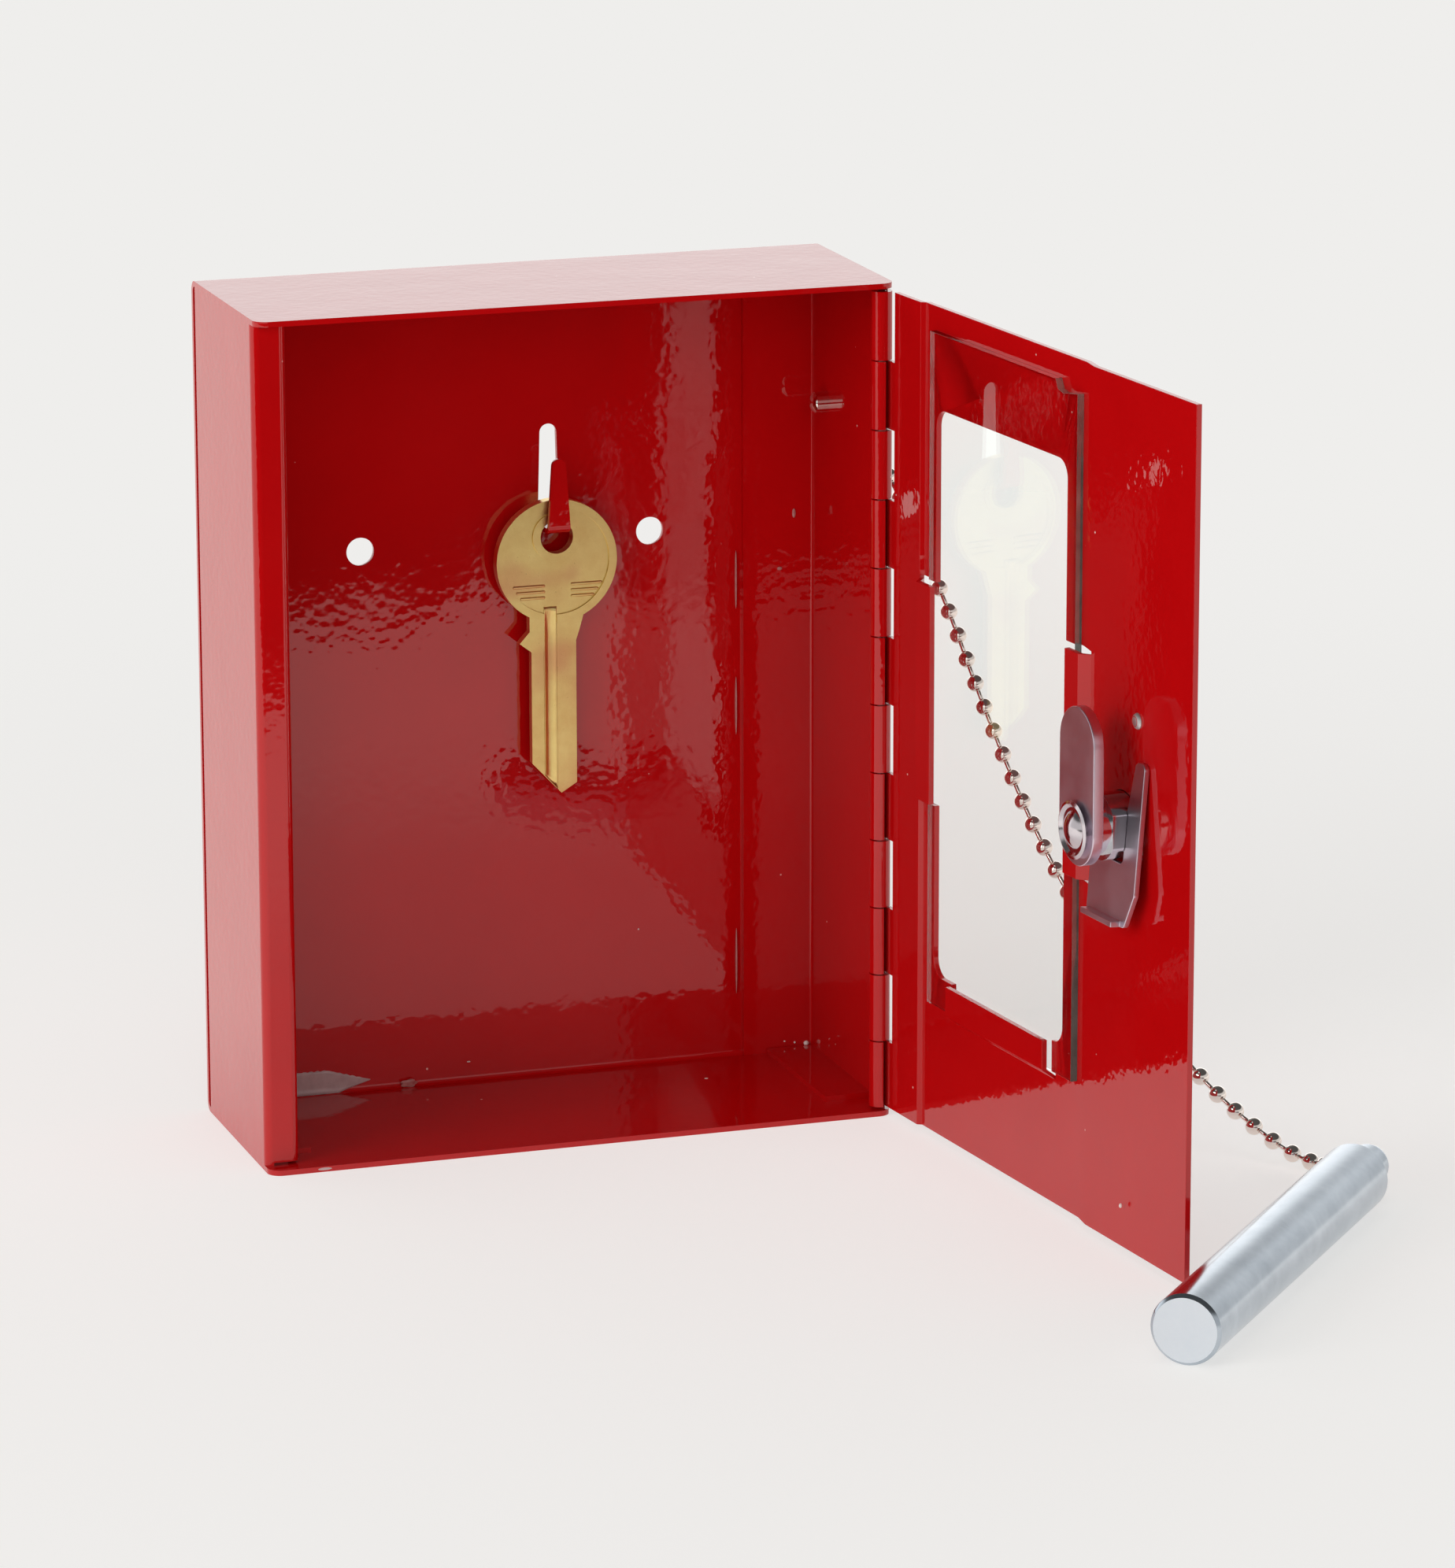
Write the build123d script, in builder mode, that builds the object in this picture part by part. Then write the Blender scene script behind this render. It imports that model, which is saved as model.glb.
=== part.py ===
from build123d import *
import os
from math import cos, pi, radians, sin, tan

# Break glass key box: a folded sheet-steel case with a rolled-knuckle hinge, a door that holds
# a pane of glass behind lanced tabs, a cam lock, a key blank on a hook, and a breaker bar on a
# bead chain.  It is drawn with the door open, the cam up and the bar lying in front.
# Frame: X to the right, Y to the back, Z up, origin at the middle of the underside.

# ---- case ------------------------------------------------------------------------------
case_width = 118.0          # over the two side walls
case_height = 155.0         # over the top and bottom plates
case_depth = 41.5           # from the front flanges to the back face
plate_overhang = 3.0        # top and bottom plates in front of the flanges
sheet = 1.0                 # case sheet
fold_radius = 2.0           # outside of the two folds at the back
bend_radius = 1.5           # outside of the side walls' bends
plate_corner = 2.5          # front corners of the plates
front_flange = 6.3          # left wall's flange beside the opening
weld_flange = 9.0           # side walls' flanges on the plates
back_flange = 14.5          # side walls' flanges on the back
flange_trim = 0.6           # flange ends clear of the plates
flange_setback = 6.0        # weld flanges behind the front face
weld_gap = 0.3              # weld flanges to the back flange

# ---- hinge -----------------------------------------------------------------------------
knuckle_radius = 1.9
knuckle_count = 12
knuckle_gap = 0.25          # between two knuckles, along the pin
knuckle_roll = 270.0        # how far the sheet is rolled round the pin, degrees
hinge_forward = 0.9         # pin's axis in front of the flanges
pin_radius = 0.85
pin_fit = 0.05              # radial, pin in knuckle
hinge_clearance = 0.3       # wall cut back behind the door's knuckles
leaf_cutback = 1.5          # door's leaf cut back beside the wall's knuckles

# ---- door ------------------------------------------------------------------------------
door_angle = 96.4           # how far the door stands open
door_sheet = 1.0
door_gap = 0.5              # door to the plates, above and below
pan_drop = 0.8              # glass seat in front of the leaf
joggle_at = 13.8            # hinge axis to the step down to the glass seat
joggle_run = 0.6
ramp_run = 4.2
lock_strip = 12.2           # lock's axis to the ramp up to the lock strip
window_left = 20.4
window_edge = 5.1           # window to the ramp
window_bottom = 31.5
window_top = 135.5
window_corner = 3.3
tab_slot = 0.6              # cut round each lanced tab
tab_rise_run = 1.8          # length of the step in a tab
side_tab_bottom = 63.5
side_tab_top = 103.4
left_tab_tip = 21.2
right_tab_tip = 2.5         # window's edge to the tip of the tab beside the lock
foot_tab_left = 28.2
foot_tab_right = 4.5        # window's edge to the foot tab's side
foot_tab_fold = 24.2        # height where the bottom tab leaves the door
foot_tab_top = 31.4

# ---- glass -----------------------------------------------------------------------------
glass_thickness = 1.3
glass_fit = 0.1             # glass to the tabs
glass_left = 18.5
glass_play = 0.8            # glass to the ramp
glass_top = 149.2
chip_width = 8.2            # broken top corner, lock side
chip_depth = 1.7

# ---- lock ------------------------------------------------------------------------------
lock_along = 92.0           # hinge axis to the lock's axis
lock_height = 76.5
lock_head_radius = 9.0
lock_head = 2.0
lock_head_round = 1.2
barrel_radius = 5.8
barrel_flat = 5.1           # axis to each flat
barrel_length = 6.8         # inside the door
barrel_neck_radius = 4.9
barrel_neck = 2.2           # length of the thinner inner end
groove_depth = 0.5          # clip groove in each flat
clip_thickness = 1.0
clip_fit = 0.1
clip_half = 9.6             # half of the width over the legs
clip_horn = 12.4            # lock's axis to the legs' tips
clip_tip = 3.2              # width of the long leg's tip
clip_stub = 2.0             # lock's axis to the short leg's end
clip_crotch = 3.5           # lock's axis to where the long leg starts to narrow
clip_foot = 16.6            # lock's axis to the foot
clip_neck = 6.8             # half of the foot's width
clip_waist = 8.6            # lock's axis to the foot's corner under the short leg
clip_hip = 10.4             # lock's axis to the foot's corner under the long leg
clip_lip = 2.8              # foot's lip, out of the plate
clip_corner = 1.2
clip_lean = 4.7             # the sprung clip stands off the door at its foot, in degrees
plug_radius = 4.0
plug_fit = 0.05
tail_side = 5.0             # square tail that carries the cam
cam_gap = 0.2               # barrel's end to the cam
catch_gap = 0.6             # turned cam to the case's return lip
cam_thickness = 2.0
cam_width = 12.6
cam_catch = 3.6             # turned cam's tip behind the edge of the left wall's flange
cam_fit = 0.05              # cam on the tail
cam_rivet_shank = 1.5
cam_rivet_head = 3.3
cam_rivet_dome = 1.3
rivet_bore_depth = 1.0      # rivet's hole in the plug, behind the cam
washer_radius = 5.1
washer_rim = 0.6
washer_thickness = 0.5
keyway_width = 1.3
keyway_height = 6.0
keyway_depth = 7.5
first_wafer = 2.2           # plug's face to the first wafer
wafer_count = 4
wafer_window = 2.6          # height of the key's hole in a wafer
spring_radius = 0.28
spring_side = 1.2           # springs beside the keyway
plug_proud = 0.2            # plug's face in front of the lock's head
wafer_pitch = 1.8
wafer_thickness = 0.6
wafer_width = 4.2
wafer_height = 4.9
wafer_fit = 0.1
pip_radius = 1.3            # pressed pip above the lock
pip_height = 0.7
pip_aside = 5.0             # lock's axis to the pip, towards the free edge
pip_above = 19.1            # lock's axis up to the pip

# ---- hook, wall holes and key ----------------------------------------------------------
hook_x = 7.2
hook_level = 105.2          # underside of the hook's foot
hook_reach = 7.0            # back panel to the hook's front face
hook_top = hook_level + 14.0
hook_tip = 2.6              # width at the tip and at the root
hook_root = 4.2
hook_kerf = 0.3             # slot round the tongue
hook_bend = 0.6             # inside of the tongue's bends
slot_top = hook_top + 5.0
wall_hole_pitch = 55.3
wall_hole_middle = -1.0
wall_hole_level = 103.1
wall_hole_radius = 2.6
key_hole_radius = 3.1
key_hang = 0.3              # key's hole to the hook's foot
key_thickness = 2.2
key_to_back = 2.9           # key to the back panel
bow_radius = 11.5
bow_drop = 4.5              # hole's centre to the bow's centre
bow_rim = 1.5
bow_recess = 0.35
neck_level = 17.5           # hole's centre down to the neck
neck_half = 5.3
shoulder_level = 19.6       # hole's centre down to the shoulder
shoulder_reach = 7.2
blade_left = 4.9            # axis of the hook to the blade's edges
blade_right = 3.6
blade_in = 0.15             # blade thinner than the bow, each side
blade_length = 48.3         # hole's centre to the tip
neck_into_bow = 3.5
shoulder_slope = 1.8
tip_slope = 5.9             # rise of the long slope at the tip
tip_corner = 1.8            # rise of the short slope
tip_along = 0.6
milling_along = -1.3        # axis of the hook to the groove's middle
milling_width = 2.4
milling_depth = 0.6
milling_top = 13.0          # hole's centre down to the groove's start
step_depth = 0.25           # the blade is thinner beside the groove

# ---- chain and breaker bar -------------------------------------------------------------
rivet_y = 12.2              # chain rivet on the right wall
rivet_level = 127.0
rivet_head = 2.9
rivet_shank = 1.6
rivet_fit = 0.05
rivet_dome = 1.4
rivet_end = 1.9             # radius of the end that stands out inside the box
rivet_stand = 2.4
rivet_crown = 0.9
eyelet_radius = 4.0
eyelet_thickness = 0.8
chain_diameter = 3.2
coupling_radius = 2.1
coupling_length = 3.8
bar_radius = 6.2
bar_length = 92.5           # to the shoulder
bar_near = (56.4, -171.6)   # middle of the end nearest the viewer, on the floor plan
bar_turn = 49.0             # bar's direction, degrees from +X
boss_radius = 3.8
boss_length = 8.0
boss_round = 1.6
boss_neck = 2.2             # coupling's hole, from the shoulder
bar_chamfer = 0.6
shoulder_chamfer = 1.6
link_radius = 1.0           # coupling's link in the boss

# Corner points of the chain's centre line, from the eyelet to the bar's coupling.
chain_route = [
    (64.5, 9.3, 121.0),
    (68.0, 0.8, 111.5),
    (73.8, -8.4, 95.4),
    (79.7, -17.8, 72.0),
    (86.4, -28.7, 49.6),
    (95.1, -42.5, 29.6),
    (105.1, -58.6, 12.1),
    (114.3, -73.4, 3.2),
    (118.3, -81.0, 1.8),
    (118.4, -89.2, 3.7),
]

# ---- places worked out from the sizes --------------------------------------------------
x_right = case_width / 2
y_front = -(case_depth - plate_overhang) / 2
y_back = y_front + case_depth
y_plate = y_front - plate_overhang
y_inner = y_back - sheet
hinge_x = x_right - knuckle_radius
hinge_y = y_front - hinge_forward
door_width = hinge_x + x_right
door_bottom = sheet + door_gap
door_top = case_height - sheet - door_gap
knuckle_pitch = (door_top - door_bottom) / knuckle_count
cam_reach = door_width - lock_along - front_flange + cam_catch
ramp_at = lock_along - lock_strip - ramp_run
window_right = ramp_at - window_edge
foot_tab_width = window_right - foot_tab_right - foot_tab_left
glass_right = ramp_at - glass_play
bore_radius = pin_radius + pin_fit

# Levels of the door's sheet, as distances out of the box from the hinge's axis.
leaf_out = knuckle_radius
leaf_in = leaf_out - door_sheet
pan_out = leaf_out + pan_drop
pan_in = pan_out - door_sheet
tab_out = pan_in - glass_thickness - glass_fit
glass_bottom = foot_tab_fold + tab_rise_run + glass_fit

door_along = Vector(-cos(radians(door_angle)), -sin(radians(door_angle)), 0)
door_outward = Vector(sin(radians(door_angle)), -cos(radians(door_angle)), 0)
hinge_foot = Vector(hinge_x, hinge_y, 0)
door_plan = Plane(origin=hinge_foot, x_dir=door_along, z_dir=(0, 0, 1))
door_face = Plane(origin=hinge_foot, x_dir=door_along, z_dir=-door_outward)
door_edge = Plane(origin=hinge_foot, x_dir=door_outward, z_dir=door_along)
lock_centre = hinge_foot + door_along * lock_along + Vector(0, 0, lock_height)
lock_view = Plane(origin=lock_centre, x_dir=door_along, z_dir=-door_outward)
clip_rise = clip_horn * sin(radians(clip_lean))
clip_view = Plane(
    origin=lock_centre + door_outward * (leaf_in - clip_rise),
    x_dir=door_along,
    z_dir=Vector(0, 0, sin(radians(clip_lean))) - door_outward * cos(radians(clip_lean)),
)
clip_inner = barrel_flat - groove_depth + clip_fit
lock_axis = Axis(lock_centre, -door_outward)
lock_section = Plane(origin=lock_centre, x_dir=door_along, z_dir=(0, 0, -1))
back_view = Plane(origin=(0, y_back, 0), x_dir=(1, 0, 0), z_dir=(0, -1, 0))
weld_depth = y_inner - sheet - weld_gap - y_front - flange_setback
fold_inside = fold_radius - sheet


def sheet_band(path, thickness):
    """Closed outline of a sheet whose far side follows path, thickness being measured along -y."""
    near = [(x, y - thickness) for x, y in reversed(path)]
    with BuildSketch() as band:
        with BuildLine():
            Polyline(*path, *near, close=True)
        make_face()
    return band.sketch


def rolled_knuckle():
    """Section of sheet rolled round the pin: from +y through -x and -y towards +x."""
    with BuildSketch() as roll:
        with BuildLine():
            outer = CenterArc((0, 0), knuckle_radius, 90, knuckle_roll)
            inner = CenterArc((0, 0), bore_radius, 90, knuckle_roll)
            Line(outer @ 0, inner @ 0)
            Line(outer @ 1, inner @ 1)
        make_face()
    return roll.sketch


def dome_radius(half_width, height):
    """Radius of the arc whose chord is twice half_width and whose rise is height."""
    return (half_width**2 + height**2) / (2 * height)


def barrel_section(clearance):
    """Round barrel with two flats, grown by a clearance."""
    with BuildSketch() as section:
        Circle(barrel_radius + clearance)
        Rectangle(2 * (barrel_flat + clearance), 3 * barrel_radius, mode=Mode.INTERSECT)
    return section.sketch


def fold_relief():
    """Wedges in the YZ plane that keep a side wall's back corners out of the case's folds."""
    with BuildSketch() as relief:
        for foot, way in ((sheet, 1), (case_height - sheet, -1)):
            with BuildLine():
                Polyline(
                    (y_inner - fold_inside, foot),
                    (y_inner + sheet, foot),
                    (y_inner + sheet, foot + way * (fold_inside + sheet)),
                    (y_inner, foot + way * fold_inside),
                    close=True,
                )
            make_face()
    return relief.sketch


# ---- case shell: top, back and bottom in one folded sheet, with the lanced hook ---------
with BuildPart() as hook:
    with BuildSketch(Plane.YZ.offset(hook_x - hook_root / 2)):
        with BuildLine():
            FilletPolyline(
                (y_inner, hook_level - 2 * sheet),
                (y_inner, hook_level),
                (y_inner - hook_reach, hook_level),
                (y_inner - hook_reach, hook_top),
                radius=[hook_bend, hook_bend + sheet],
            )
            offset(amount=sheet, side=Side.RIGHT)
        make_face()
    extrude(amount=hook_root)
    with BuildSketch(back_view):
        with BuildLine():
            Polyline(
                (hook_x - hook_root / 2, hook_level - 3 * sheet),
                (hook_x + hook_root / 2, hook_level - 3 * sheet),
                (hook_x + hook_root / 2, hook_level + sheet),
                (hook_x + hook_tip / 2, hook_top - hook_tip / 2),
                (hook_x - hook_tip / 2, hook_top - hook_tip / 2),
                (hook_x - hook_root / 2, hook_level + sheet),
                close=True,
            )
        make_face()
        with Locations((hook_x, hook_top - hook_tip / 2)):
            Circle(hook_tip / 2)
    extrude(amount=hook_reach + 2 * sheet, mode=Mode.INTERSECT)

with BuildPart() as case_shell:
    with BuildSketch(Plane.YZ.offset(-x_right)):
        with BuildLine():
            FilletPolyline(
                (y_plate, 0),
                (y_back, 0),
                (y_back, case_height),
                (y_plate, case_height),
                radius=fold_radius,
            )
            offset(amount=sheet, side=Side.LEFT)
        make_face()
    extrude(amount=case_width)
    fillet(case_shell.edges().filter_by(Axis.Z).group_by(Axis.Y)[0], radius=plate_corner)
    with BuildSketch(back_view):
        with BuildLine():
            Polyline(
                (hook_x - hook_root / 2, hook_level - sheet / 2),
                (hook_x + hook_root / 2, hook_level - sheet / 2),
                (hook_x + hook_tip / 2 + hook_kerf, slot_top - hook_tip / 2),
                (hook_x - hook_tip / 2 - hook_kerf, slot_top - hook_tip / 2),
                close=True,
            )
        make_face()
        with Locations((hook_x, slot_top - hook_tip / 2)):
            Circle(hook_tip / 2 + hook_kerf)
        with Locations((wall_hole_middle, wall_hole_level)):
            with GridLocations(wall_hole_pitch, 0, 2, 1):
                Circle(wall_hole_radius)
    extrude(amount=sheet, mode=Mode.SUBTRACT)
    add(hook.part)
case_shell.part.label = "case_shell"

# ---- lock geometry that the left wall's return lip depends on ---------------------------
barrel_end = barrel_length - leaf_in
cam_at = barrel_end + cam_gap
cam_inside = hinge_y + cam_at        # the turned cam's front face when the door is shut
lip_depth = cam_inside - y_front - catch_gap

# ---- left side: wall, front flange with its return lip, weld flanges --------------------
with BuildPart() as left_side:
    with BuildSketch(Plane.XY.offset(sheet)):
        with BuildLine():
            FilletPolyline(
                (-x_right + front_flange, y_front + lip_depth),
                (-x_right + front_flange, y_front),
                (-x_right, y_front),
                (-x_right, y_inner),
                (-x_right + back_flange, y_inner),
                radius=bend_radius,
            )
            offset(amount=sheet, side=Side.RIGHT)
        make_face()
    extrude(amount=case_height - 2 * sheet)
    for level in (sheet, case_height - 2 * sheet):
        with BuildSketch(Plane.XY.offset(level)):
            with Locations((-x_right + sheet / 2, y_front + flange_setback)):
                Rectangle(
                    weld_flange + sheet / 2,
                    weld_depth,
                    align=(Align.MIN, Align.MIN),
                )
        extrude(amount=sheet)
    trim = front_flange - bend_radius
    for level in (sheet, case_height - sheet - flange_trim):
        with BuildSketch(Plane.XY.offset(level)):
            with Locations((-x_right + bend_radius, y_front - sheet)):
                Rectangle(trim + sheet, lip_depth + 2 * sheet, align=(Align.MIN, Align.MIN))
        extrude(amount=flange_trim, mode=Mode.SUBTRACT)
    with BuildSketch(Plane.YZ.offset(-x_right)):
        add(fold_relief())
    extrude(amount=back_flange, mode=Mode.SUBTRACT)
left_side.part.label = "left_side"

# ---- right side: wall rolled into six hinge knuckles ------------------------------------
wall_rows = [row for row in range(knuckle_count) if row % 2 == 1]
door_rows = [row for row in range(knuckle_count) if row % 2 == 0]


def row_bottom(row):
    """Height at which a knuckle row starts; row 0, the lowest, is the door's."""
    return door_bottom + row * knuckle_pitch


with BuildPart() as right_side:
    with BuildSketch(Plane.XY.offset(sheet)):
        with BuildLine():
            FilletPolyline(
                (x_right, hinge_y),
                (x_right, y_inner),
                (x_right - back_flange, y_inner),
                radius=bend_radius,
            )
            offset(amount=sheet, side=Side.LEFT)
        make_face()
    extrude(amount=case_height - 2 * sheet)
    for level in (sheet, case_height - 2 * sheet):
        with BuildSketch(Plane.XY.offset(level)):
            with Locations((x_right - sheet / 2, y_front + flange_setback)):
                Rectangle(
                    weld_flange + sheet / 2,
                    weld_depth,
                    align=(Align.MAX, Align.MIN),
                )
        extrude(amount=sheet)
    notch = knuckle_radius + hinge_clearance
    with BuildSketch(Plane.XY.offset(sheet)):
        with Locations((x_right - sheet - 0.1, hinge_y)):
            Rectangle(sheet + 0.2, notch, align=(Align.MIN, Align.MIN))
    extrude(amount=case_height - 2 * sheet, mode=Mode.SUBTRACT)
    for row in wall_rows:
        bottom = row_bottom(row) + knuckle_gap / 2
        with BuildSketch(Plane.XY.offset(bottom)):
            with Locations((hinge_x, hinge_y)):
                add(rolled_knuckle())
            with Locations((x_right - sheet, hinge_y)):
                Rectangle(sheet, notch, align=(Align.MIN, Align.MIN))
        extrude(amount=knuckle_pitch - knuckle_gap)
    with BuildSketch(Plane.YZ.offset(x_right - sheet - 0.1)):
        with Locations((rivet_y, rivet_level)):
            Circle(rivet_shank + rivet_fit)
    extrude(amount=sheet + 0.2, mode=Mode.SUBTRACT)
    with BuildSketch(Plane.YZ.offset(x_right - back_flange)):
        add(fold_relief())
    extrude(amount=back_flange, mode=Mode.SUBTRACT)
right_side.part.label = "right_side"

# ---- hinge pin --------------------------------------------------------------------------
with BuildPart() as hinge_pin:
    with BuildSketch(Plane((hinge_x, hinge_y, door_bottom))):
        Circle(pin_radius)
    extrude(amount=door_top - door_bottom)
    chamfer(hinge_pin.edges().filter_by(GeomType.CIRCLE), length=0.2)
hinge_pin.part.label = "hinge_pin"

# ---- door panel -------------------------------------------------------------------------
leaf_path = [
    (0, leaf_out),
    (joggle_at, leaf_out),
    (joggle_at + joggle_run, pan_out),
    (ramp_at, pan_out),
    (ramp_at + ramp_run, leaf_out),
    (door_width, leaf_out),
]
left_tab_path = [
    (joggle_at - 1, leaf_out),
    (joggle_at, leaf_out),
    (joggle_at + tab_rise_run, tab_out),
    (left_tab_tip, tab_out),
]
right_tab_path = [
    (window_right + right_tab_tip, tab_out),
    (ramp_at + ramp_run - tab_rise_run, tab_out),
    (ramp_at + ramp_run, leaf_out),
    (ramp_at + ramp_run + 1, leaf_out),
]
cut_margin = 0.5            # cuts run past the sheet on both sides

with BuildPart() as door_panel:
    with BuildSketch(door_plan.offset(door_bottom)):
        add(sheet_band(leaf_path, door_sheet))
    extrude(amount=door_top - door_bottom)
    for row in wall_rows:
        with BuildSketch(door_plan.offset(row_bottom(row) - knuckle_gap / 2)):
            Rectangle(2 * (knuckle_radius + leaf_cutback), 4 * knuckle_radius)
        extrude(amount=knuckle_pitch + knuckle_gap, mode=Mode.SUBTRACT)
    for row in door_rows:
        bottom = row_bottom(row) + knuckle_gap / 2
        with BuildSketch(door_plan.offset(bottom)):
            add(rolled_knuckle())
        extrude(amount=knuckle_pitch - knuckle_gap)
    with BuildSketch(door_face.offset(-pan_out - cut_margin)):
        with Locations(((window_left + window_right) / 2, (window_bottom + window_top) / 2)):
            RectangleRounded(
                window_right - window_left, window_top - window_bottom, window_corner
            )
        side_slot = side_tab_top - side_tab_bottom + 2 * tab_slot
        with Locations((joggle_at, side_tab_bottom - tab_slot)):
            Rectangle(
                window_left + 1 - joggle_at, side_slot, align=(Align.MIN, Align.MIN)
            )
        with Locations((ramp_at + ramp_run, side_tab_bottom - tab_slot)):
            Rectangle(
                ramp_at + ramp_run - window_right + 1, side_slot, align=(Align.MAX, Align.MIN)
            )
        with Locations((foot_tab_left - tab_slot, foot_tab_fold)):
            Rectangle(
                foot_tab_width + 2 * tab_slot,
                window_bottom + 1 - foot_tab_fold,
                align=(Align.MIN, Align.MIN),
            )
        with Locations((lock_along, lock_height)):
            add(barrel_section(clip_fit))
    extrude(amount=door_sheet + pan_drop + 2 * cut_margin, mode=Mode.SUBTRACT)
    with BuildSketch(door_plan.offset(side_tab_bottom)):
        add(sheet_band(left_tab_path, door_sheet))
        add(sheet_band(right_tab_path, door_sheet))
    extrude(amount=side_tab_top - side_tab_bottom)
    with BuildSketch(door_edge.offset(foot_tab_left)):
        with BuildLine():
            Polyline(
                (pan_in, foot_tab_fold - 1),
                (pan_out, foot_tab_fold - 1),
                (pan_out, foot_tab_fold),
                (tab_out, foot_tab_fold + tab_rise_run),
                (tab_out, foot_tab_top),
                (tab_out - door_sheet, foot_tab_top),
                (tab_out - door_sheet, foot_tab_fold + tab_rise_run),
                (pan_in, foot_tab_fold),
                close=True,
            )
        make_face()
    extrude(amount=foot_tab_width)
    with BuildSketch(door_face.offset(-leaf_in)):
        with Locations((lock_along + pip_aside, lock_height + pip_above)):
            Circle(pip_radius)
    extrude(amount=pip_height, taper=30)
    with BuildSketch(door_face.offset(-leaf_out)):
        with Locations((lock_along + pip_aside, lock_height + pip_above)):
            Circle(pip_radius - pip_height)
    extrude(amount=pip_height, taper=30, mode=Mode.SUBTRACT)
door_panel.part.label = "door_panel"

# ---- glass pane, with its broken corner -------------------------------------------------
with BuildPart() as glass_pane:
    with BuildSketch(door_face.offset(-pan_in)):
        with BuildLine():
            Polyline(
                (glass_left, glass_bottom),
                (glass_right, glass_bottom),
                (glass_right, glass_top - 0.8 * chip_depth),
                (glass_right - 0.66 * chip_width, glass_top - 1.2 * chip_depth),
                (glass_right - 0.88 * chip_width, glass_top - chip_depth),
                (glass_right - chip_width, glass_top),
                (glass_left, glass_top),
                close=True,
            )
        make_face()
    extrude(amount=glass_thickness)
glass_pane.part.label = "glass_pane"

# ---- lock housing: head outside, barrel with flats and clip grooves ----------------------
with BuildPart() as lock_housing:
    with BuildSketch(lock_view.offset(-leaf_out - lock_head)):
        Circle(lock_head_radius)
    extrude(amount=lock_head)
    fillet(lock_housing.faces().sort_by(lock_axis)[0].edges(), radius=lock_head_round)
    with BuildSketch(lock_view.offset(-leaf_out)):
        add(barrel_section(0))
    extrude(amount=barrel_end - barrel_neck + leaf_out)
    with BuildSketch(lock_view.offset(barrel_end - barrel_neck)):
        Circle(barrel_neck_radius)
    extrude(amount=barrel_neck)
    with BuildSketch(clip_view):
        for side in (-1, 1):
            with Locations((side * (barrel_flat - groove_depth), 0)):
                Rectangle(
                    2 * groove_depth,
                    3 * barrel_radius,
                    align=(Align.MIN if side > 0 else Align.MAX, Align.CENTER),
                )
    extrude(amount=clip_thickness + clip_fit, mode=Mode.SUBTRACT)
    with BuildSketch(lock_view.offset(-leaf_out - lock_head)):
        Circle(plug_radius + plug_fit)
    extrude(amount=lock_head + leaf_out + barrel_end, mode=Mode.SUBTRACT)
lock_housing.part.label = "lock_housing"

# ---- horseshoe clip in the barrel's grooves ----------------------------------------------
with BuildPart() as lock_clip:
    with BuildSketch(clip_view):
        with BuildLine():
            FilletPolyline(
                (-clip_neck, -clip_foot),
                (clip_neck, -clip_foot),
                (clip_half, -clip_hip),
                (clip_half, clip_horn),
                (clip_half - clip_tip, clip_horn),
                (clip_inner, clip_crotch),
                (clip_inner, -barrel_radius - clip_fit),
                (-clip_inner, -barrel_radius - clip_fit),
                (-clip_inner, clip_stub),
                (-clip_half, clip_stub),
                (-clip_half, -barrel_radius),
                (-clip_neck, -clip_waist),
                close=True,
                radius=clip_corner,
            )
        make_face()
    extrude(amount=clip_thickness)
    with BuildSketch(clip_view):
        with Locations((0, -clip_foot)):
            Rectangle(
                2 * (clip_neck - clip_corner), clip_thickness, align=(Align.CENTER, Align.MIN)
            )
    extrude(amount=clip_lip)
lock_clip.part.label = "lock_clip"

# ---- plug with keyway, wafer slots and square tail ----------------------------------------
plug_front = -leaf_out - lock_head - plug_proud
wafer_slot = wafer_thickness + 2 * wafer_fit
slot_height = keyway_height + 2 * wafer_fit
wafer_places = [plug_front + first_wafer + wafer_pitch * count for count in range(wafer_count)]

with BuildPart() as lock_plug:
    with BuildSketch(lock_view.offset(plug_front)):
        Circle(plug_radius)
    extrude(amount=cam_at - plug_front)
    with BuildSketch(lock_view.offset(cam_at)):
        Rectangle(tail_side, tail_side)
    extrude(amount=cam_thickness)
    with BuildSketch(lock_view.offset(plug_front)):
        Rectangle(keyway_width, keyway_height)
    extrude(amount=keyway_depth, mode=Mode.SUBTRACT)
    for place in wafer_places:
        with BuildSketch(lock_view.offset(place)):
            Rectangle(wafer_width + 2 * wafer_fit, slot_height)
        extrude(amount=wafer_slot, mode=Mode.SUBTRACT)
    with BuildSketch(lock_view.offset(cam_at - rivet_bore_depth)):
        Circle(cam_rivet_shank + plug_fit)
    extrude(amount=cam_thickness + rivet_bore_depth, mode=Mode.SUBTRACT)
lock_plug.part.label = "lock_plug"

with BuildPart() as lock_wafers:
    for place in wafer_places:
        with BuildSketch(lock_view.offset(place + wafer_fit)):
            with Locations((0, -slot_height / 2 + wafer_fit)):
                Rectangle(wafer_width, wafer_height, align=(Align.CENTER, Align.MIN))
            Rectangle(keyway_width, wafer_window, mode=Mode.SUBTRACT)
        extrude(amount=wafer_thickness)
lock_wafers.part.label = "lock_wafers"

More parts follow.
